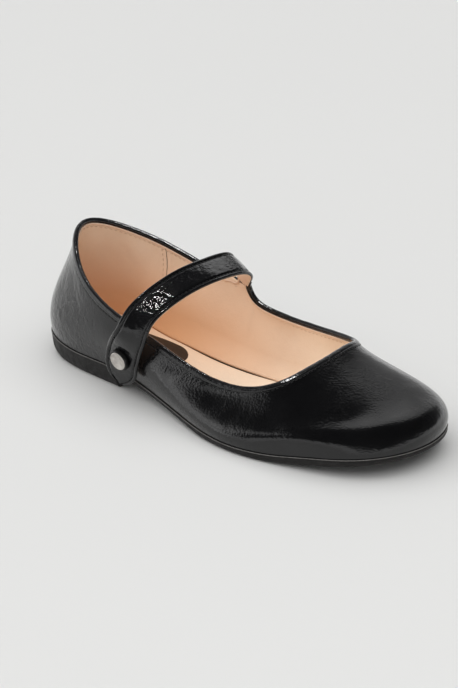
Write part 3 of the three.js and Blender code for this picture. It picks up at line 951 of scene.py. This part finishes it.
def make_lining_details():
    route = through_rows(SNAP_PATCH, np.linspace(0, len(SNAP_PATCH) - 1, 60))
    places, ways = lining_place(route[:, 0], route[:, 1], inner_side=False)
    places = soften(places, 4)
    stitch_along("snap_patch_stitches", places + ways * 0.1, ways, 2.6, 1.8, 0.2, BEIGE_THREAD)
    # Beside the seam's stitches, a close dark brown line paints the shade in the seam's fold.
    seams = (("seam_stitches", -1.8, 2.7, 1.8, BEIGE_THREAD), ("lining_seam_shade", 0.6, 1.1, 1.6, SEAM_SHADE_THREAD))
    for name, shift, spacing, length, material in seams:
        z = np.linspace(55, 26, 40)
        places, ways = lining_place(0 * z + SEAM_PLACE + shift, z, inner_side=True)
        places = soften(places, 4)
        stitch_along(name, places + ways * 0.06, ways, spacing, length, 0.18, material)
    make_snap_back()


def make_snap_back():
    """The small dark metal ring of the snap's back, inside the outer quarter."""
    places, ways = lining_place(SNAP_PLACE[:1], SNAP_PLACE[1:], inner_side=False)
    centre, way = places[0], ways[0]
    side = unit(np.cross(way, UP))
    over = np.cross(side, way)
    profile = [(0.0, 0.25), (0.9, 0.25), (1.2, 0.55), (1.9, 0.65), (2.5, 0.5), (2.8, 0.1), (2.6, -0.3)]
    points, faces = lathe(centre, side, over, way, profile, 32)
    finish_piece("snap_back", points, faces, DARK_RIM)


def lathe(centre, side, over, way, profile, sides):
    """A closed round piece from (radius, height) points, the first of them on its axis."""
    angles = np.arange(sides) * 2 * math.pi / sides
    ring = side * np.cos(angles)[:, None] + over * np.sin(angles)[:, None]
    points = [centre + way * profile[0][1]]
    for radius, rise in profile[1:]:
        points.extend(centre + ring * radius + way * rise)
    faces = grid_faces(len(profile) - 1, sides, close_columns=True, first=1)
    faces += [[0, 1 + (j + 1) % sides, 1 + j] for j in range(sides)]
    last = 1 + (len(profile) - 2) * sides
    faces.append([last + j for j in range(sides)])
    return np.array(points), faces


# ---- The insole and its bare patch ----
SEAM_GAP = 0.1  # between the lining's foot and the insole
SEAM_GAPE = 1.3  # how much wider it stands open along the inner waist
INSOLE_CROWN = 0.35
INSOLE_ACROSS = 36


def seam_gap(turn):
    turn = turn % ROUND
    return SEAM_GAP + SEAM_GAPE * smooth(12.9, 13.6, turn) * smooth(15.0, 14.1, turn)


def turns_at(lengths, samples):
    """The outer and the inner turn at each length, from the heel to the toe."""
    fine = np.linspace(0, ROUND, samples + 1)
    x = last_at(fine)[:, 0]
    heel, toe = int(np.argmin(x[:samples // 10])), int(np.argmax(x))
    outer = np.interp(lengths, x[heel:toe + 1], fine[heel:toe + 1])
    back = np.concatenate([x[toe:], x[1:heel + 1]])
    back_turn = np.concatenate([fine[toe:], fine[1:heel + 1] + ROUND])
    return outer, np.interp(-lengths, -back, back_turn)


def paired_turns(count):
    """Outer and inner turns at the same lengths, closer together towards both ends."""
    x = last_at(np.linspace(0, ROUND, 4001))[:, 0]
    low, high = x[:400].min() + 0.02, x.max() - 0.02
    return turns_at(low + (high - low) * (1 - np.cos(np.linspace(0, math.pi, count))) / 2, 4000)


def make_insole():
    outer, inner = paired_turns(240)
    across = np.linspace(0, 1, INSOLE_ACROSS)
    rims = [outline_point(turn, -(ledge_inset(turn) + seam_gap(turn)), 0) for turn in (outer, inner)]
    grid = rims[0][:, None] * (1 - across[None, :, None]) + rims[1][:, None] * across[None, :, None]
    share = 2 * np.minimum(across, 1 - across)[None, :]
    ends = np.sin(np.linspace(0, math.pi, len(outer)))[:, None]
    rim = np.minimum(share * 18, ends * 25)
    top = insole_top(grid[..., 0]) + INSOLE_CROWN * smooth(0, 0.6, share) * smooth(0, 0.5, ends)
    top = top - 0.7 * (1 - np.sqrt(np.clip(rim, 0, 1)))
    top = top + 0.10 * lattice_noise(grid, 16.0, 41)
    upper_face = grid.copy()
    upper_face[..., 2] = top
    lower_face = grid.copy()
    lower_face[..., 2] = height(SEAT, grid[..., 0]) + GAP + 0.1
    rows, columns = grid.shape[:2]
    count = rows * columns
    faces = grid_faces(rows, columns) + [face[::-1] for face in grid_faces(rows, columns, first=count)]
    ids = np.arange(count).reshape(rows, columns)
    ids = [*ids[0], *ids[1:, -1], *ids[-1, -2::-1], *ids[-2:0:-1, 0]]
    ids = [int(corner) for corner in ids]
    for a, b in zip(ids, ids[1:] + ids[:1]):
        faces.append([b, a, a + count, b + count])
    points = np.concatenate([upper_face.reshape(-1, 3), lower_face.reshape(-1, 3)])
    finish_piece("insole_sock", points, faces, SOCK, ["insole"])


PATCH_BACK = 38.5
PATCH_LENGTH = 50.5
PATCH_MIDDLE = -9.2
PATCH_WIDTH = 36.5
PATCH_CORNER = 14.0


def make_insole_patch():
    """A thin bare patch let into the insole, with round corners."""
    steps = 60
    bend = (1 - np.cos(np.linspace(0, math.pi, steps))) / 2
    x = PATCH_BACK + PATCH_LENGTH * bend
    from_end = np.minimum(x - PATCH_BACK, PATCH_BACK + PATCH_LENGTH - x)
    inside = np.clip(PATCH_CORNER - from_end, 0, PATCH_CORNER)
    half = PATCH_WIDTH / 2 - (PATCH_CORNER - np.sqrt(PATCH_CORNER ** 2 - inside ** 2))
    across = np.linspace(-1, 1, 26)
    grid = np.zeros((steps, 26, 3))
    grid[..., 0] = x[:, None]
    grid[..., 1] = PATCH_MIDDLE + half[:, None] * across[None, :]
    level = insole_top(grid[..., 0]) + INSOLE_CROWN
    top, low = grid.copy(), grid.copy()
    top[..., 2] = level + 0.18 + 0.10 * lattice_noise(grid, 16.0, 41)
    low[..., 2] = level - 1.0
    loops = np.concatenate([top, low[:, ::-1]], 1)
    finish_piece("insole_patch", loops, capped_tube(loops), PATCH)


# ---- The sole ----
# The sole's wall from the floor up: how far outside the feather edge, and the share of its height
SOLE_SECTION = [[-2.0, 0.0], [-1.3, 0.03], [-0.7, 0.10], [-0.05, 0.22], [0.42, 0.36], [0.6, 0.5], [0.62, 0.7],
                [0.6, 0.84], [0.42, 0.90], [0.50, 0.94], [0.36, 0.985], [0.0, 1.0], [-1.6, 1.0]]
TREAD_BORDER = 6.0
TREAD_PITCH = 4.2
TREAD_DEPTH = 0.8
TREAD_STRIPS = 96  # points across the underside
SEAT_STRIPS = 8  # and across the hidden top


def tread_depth(x, y, from_rim):
    """Wavy grooves across the heel and the forefoot, inside a plain border."""
    wave = x + 1.2 * np.sin(y / 3.5)
    groove = smooth(0.62, 0.86, np.cos(wave * 2 * math.pi / TREAD_PITCH))
    heel = smooth(6, 8, x) * smooth(62, 60, x)
    fore = smooth(128, 132, x) * smooth(232, 228, x)
    return TREAD_DEPTH * groove * np.maximum(heel, fore) * smooth(TREAD_BORDER - 1, TREAD_BORDER, from_rim)


def make_sole():
    outer, _ = paired_turns(300)
    breast = HEEL_BREAST + np.array([-0.6, -0.05, 0.6, 1.3, 1.9, BREAST_SLOPE])
    outer, inner = turns_at(np.sort(np.concatenate([last_at(outer)[:, 0], breast])), 8000)
    turns = np.concatenate([outer, inner[::-1]])
    at_x = last_at(turns)[:, 0]
    heel_part = 1 - smooth(HEEL_BREAST, HEEL_BREAST + 4, at_x)
    low = breast_height(at_x)
    tall = height(SEAT, at_x) - low
    rings = np.array([
        outline_point(turns, outside - HEEL_TAPER * heel_part * (1 - rise), low + tall * rise)
        for outside, rise in SOLE_SECTION
    ])
    count = len(outer)
    points = [rings.reshape(-1, 3)]
    faces = grid_faces(len(rings), 2 * count, close_columns=True)
    for ring, strips in ((rings[0], TREAD_STRIPS), (rings[-1], SEAT_STRIPS)):
        share = np.linspace(0, 1, strips)[None, :, None]
        floor = ring[:count, None] * (1 - share) + ring[::-1][:count, None] * share
        grid = grid_faces(count, strips, first=sum(len(made) for made in points))
        if strips == TREAD_STRIPS:
            y = floor[..., 1]
            rim = np.minimum(np.abs(y - y[:, :1]), np.abs(y - y[:, -1:]))
            floor[..., 2] += tread_depth(floor[..., 0], y, rim)
            grid = [face[::-1] for face in grid]
        points.append(floor.reshape(-1, 3))
        faces += grid
    sole = finish_piece("outsole", np.concatenate(points), faces, RUBBER, ["sole"])
    merge_doubles(sole)


def make_feather_highlight_line():
    """A thin bead between the upper and the sole, pale grey as a painted highlight along the feather edge."""
    turn = np.linspace(0, ROUND, 900, endpoint=False)
    centre = outline_point(turn, 0.45, 0)
    centre[:, 2] = height(SEAT, centre[:, 0]) + 0.10
    tangent = unit(np.roll(centre, -1, 0) - np.roll(centre, 1, 0))
    side = unit(np.cross(tangent, UP))
    angles = np.arange(6) * 2 * math.pi / 6
    profile = [[0.3 * math.cos(angle), 0.22 * math.sin(angle)] for angle in angles]
    loops = ribbon(centre, np.broadcast_to(UP, centre.shape), side, profile)
    faces = grid_faces(len(centre), len(profile), close_rows=True, close_columns=True)
    finish_piece("feather_highlight_line", loops, faces, PAINTED_FEATHER_HIGHLIGHT)


def breast_height(x):
    """The underside, with the heel's front face between the floor and the arch."""
    rise = smooth(HEEL_BREAST - 0.1, HEEL_BREAST + BREAST_SLOPE, x)
    arch = np.maximum(height(ARCH, np.maximum(x, HEEL_BREAST + BREAST_SLOPE)), 0)
    heel = HEEL_BACK_BEVEL * smooth(HEEL_BACK_START, 0, x)
    return np.where(x < HEEL_BREAST + BREAST_SLOPE, heel * (1 - rise) + arch * rise, arch)


def merge_doubles(piece):
    work = bmesh.new()
    work.from_mesh(piece.data)
    bmesh.ops.remove_doubles(work, verts=work.verts, dist=0.01 * MM)
    bmesh.ops.recalc_face_normals(work, faces=work.faces)
    work.to_mesh(piece.data)
    work.free()
    face_outwards(piece.data)


# ---- The snap's cap ----
def make_stud():
    t = strap_parameter(STRAP_LENGTH - STUD_FROM_TIP)
    centre, _, front, outward = strap_frame(np.array([t]))
    centre, front, outward = centre[0] + outward[0] * STUD_LIFT, front[0], outward[0]
    over = np.cross(outward, front)
    r, h = STUD_RADIUS, STUD_HEIGHT
    rim = [(0, -0.6), (r - 1.3, -0.5), (r - 1.15, h - 0.45), (r - 0.95, h - 0.12), (r - 0.7, h),
           (r - 0.35, h - 0.08), (r - 0.1, h - 0.4), (r - 0.02, h - 1.0), (r, 0.5),
           (r - 0.25, 0.05), (r - 1.0, -0.05)]
    points, faces = lathe(centre, front, over, outward, rim, 72)
    finish_piece("snap_rim", points, faces, DARK_RIM, ["stud"])
    face = [(0, h - 0.62), (1.5, h - 0.60), (3.0, h - 0.50), (3.9, h - 0.32), (4.5, h - 0.02),
            (4.8, h + 0.04), (5.05, h - 0.10), (5.1, h - 0.45), (4.6, h - 0.9)]
    points, faces = lathe(centre, front, over, outward, face, 72)
    finish_piece("snap_face", points, faces, SATIN)


# ---- The studio ----
# The camera's place comes from the same fit as the last. Its aim and lens frame the one shoe.
CAMERA_PLACE = Vector((0.8709, -0.9601, 0.5758))
CAMERA_TARGET = Vector((-0.004, 0.004, 0.030))
CAMERA_LENS = 142.0


def make_camera():
    data = bpy.data.cameras.new("camera")
    data.lens = CAMERA_LENS
    data.sensor_width = 36
    data.clip_start = 0.01
    camera = bpy.data.objects.new("camera", data)
    camera.location = CAMERA_PLACE
    camera.rotation_euler = (CAMERA_TARGET - CAMERA_PLACE).to_track_quat("-Z", "Y").to_euler()
    bpy.context.scene.collection.objects.link(camera)
    bpy.context.scene.camera = camera


def area_light(name, place, target, size, power, glossy=True, spread=180, only=()):
    """A soft lamp. It may light only the pieces named."""
    data = bpy.data.lights.new(name, "AREA")
    data.shape = "RECTANGLE"
    data.size, data.size_y = size
    data.energy = power
    data.spread = math.radians(spread)
    light = bpy.data.objects.new(name, data)
    light.location = place
    light.rotation_euler = (Vector(target) - Vector(place)).to_track_quat("-Z", "Y").to_euler()
    light.visible_glossy = glossy
    light.visible_camera = False
    bpy.context.scene.collection.objects.link(light)
    if only:
        lit = bpy.data.collections.new(name + "_lights")
        for piece in only:
            lit.objects.link(bpy.data.objects[piece])
        light.light_linking.receiver_collection = lit


def make_lights():
    area_light("strap_lamp", (-0.112, -0.165, 0.630), (-0.028, -0.031, 0.052), (0.03, 0.03), 0.009, spread=20,
               only=["strap_leather"])
    area_light("strap_sheen", (-0.24, 0.70, 0.70), (-0.02, 0, 0.06), (0.35, 0.35), 0.45,
               only=["strap_leather"])
    area_light("edge_lamp", (-0.05, 0.05, 0.75), (0, 0, 0.04), (0.20, 0.20), 0.7, spread=60,
               only=["topline_binding"])
    area_light("inside_lamp", (-0.55, -0.75, 1.0), (-0.02, 0, 0.03), (0.5, 0.5), 3.4, glossy=False,
               only=["lining", "insole_sock"])
    area_light("fill", (1.4, -1.6, 1.2), (0, 0, 0), (1.6, 1.6), 8, glossy=False)
    data = bpy.data.lights.new("sky", "SUN")
    data.energy = 2.7
    data.angle = math.radians(110)
    sky = bpy.data.objects.new("sky", data)
    sky.location = (0, 0, 2)
    sky.rotation_euler = (0.10, -0.08, 0)
    sky.visible_glossy = False
    bpy.context.scene.collection.objects.link(sky)


def make_floor():
    half, steps = 6.0, 24
    line = np.linspace(-half, half, steps + 1)
    x, y = np.meshgrid(line, line)
    points = np.stack([x, y, 0 * x], -1).reshape(-1, 3)
    mesh = bpy.data.meshes.new("floor")
    mesh.from_pydata(points.tolist(), [], grid_faces(steps + 1, steps + 1))
    floor = bpy.data.objects.new("floor", mesh)
    bpy.context.scene.collection.objects.link(floor)
    n = MaterialNodes("floor_paper")
    tone = n.mix(n.noise(3, detail=2), (0.735, 0.735, 0.725), (0.75, 0.75, 0.74))
    mesh.materials.append(n.set(Base_Color=tone, Roughness=0.75, Specular_IOR_Level=0.2))


# The pale part of the studio lies between two upright planes through the shoe
PALE_FROM = (-0.961, -0.276, 0.0)
PALE_TO = (-0.799, 0.602, 0.0)
PALE_TOP = (-0.031, -0.116, 1.0)  # and below a third, sloping one
BRIGHT_WAY = (-0.766, -0.643, 0.0)  # where it is brightest
FAR_LEVEL = 0.48
MIDDLE_LEVEL = 0.20  # what the middle adds
BRIGHT_LEVEL = 1.4  # what the brightest part adds
PALE_DIM = 0.60  # how dark its darker parts are
LOW_BAND = 1.05  # a pale band all round, low down
LOW_BAND_TOP = 0.20
DARK_LEVEL = 0.004
BACKDROP_LEVEL = 0.76


def make_world():
    """A pale studio to the left of the shoe and behind it, dark above, with a pale band low down."""
    world = bpy.data.worlds.new("studio")
    bpy.context.scene.world = world
    world.use_nodes = True
    world.node_tree.nodes.clear()
    n = Nodes(world.node_tree, "Generated")

    def side_of(direction, low, high):
        return n.ramp(n.toward(direction), low, high)

    behind = n.times(side_of(PALE_FROM, -0.04, 0.04), side_of(PALE_TO, -0.04, 0.04))
    low = side_of(PALE_TOP, 0.74, 0.66)
    cloud = n.ramp(n.noise(3.5, detail=3.0), 0.38, 0.62)
    uneven = n.plus(PALE_DIM, n.times(cloud, 1.0 - PALE_DIM))
    band = n.times(n.ramp(n.axis("Z"), LOW_BAND_TOP + 0.04, LOW_BAND_TOP - 0.04), LOW_BAND)
    middle = n.times(side_of(BRIGHT_WAY, -0.30, 0.10), MIDDLE_LEVEL)
    bright = n.times(side_of(BRIGHT_WAY, 0.75, 0.95), BRIGHT_LEVEL)
    strength = n.times(n.plus(n.plus(middle, bright), FAR_LEVEL), uneven)
    pale = n.maths("MAXIMUM", n.times(n.times(behind, low), strength), band)
    seen = n.node("ShaderNodeLightPath").outputs["Is Camera Ray"]
    reflected = n.times(n.plus(pale, DARK_LEVEL), n.maths("SUBTRACT", 1.0, seen))
    level = n.plus(reflected, n.times(seen, BACKDROP_LEVEL))
    background = n.node("ShaderNodeBackground", Color=(1, 1, 1, 1), Strength=level)
    n.node("ShaderNodeOutputWorld", Surface=background.outputs["Background"])


# ---- The shoe ----
make_camera()
make_floor()
make_world()

make_upper_leather()
make_lining()
make_strap()
make_topline_stitches(*make_binding())
make_strap_stitches()
make_lining_details()
make_insole()
make_insole_patch()
make_sole()
make_feather_highlight_line()
make_stud()
make_lights()

bpy.context.scene.view_settings.view_transform = "Standard"
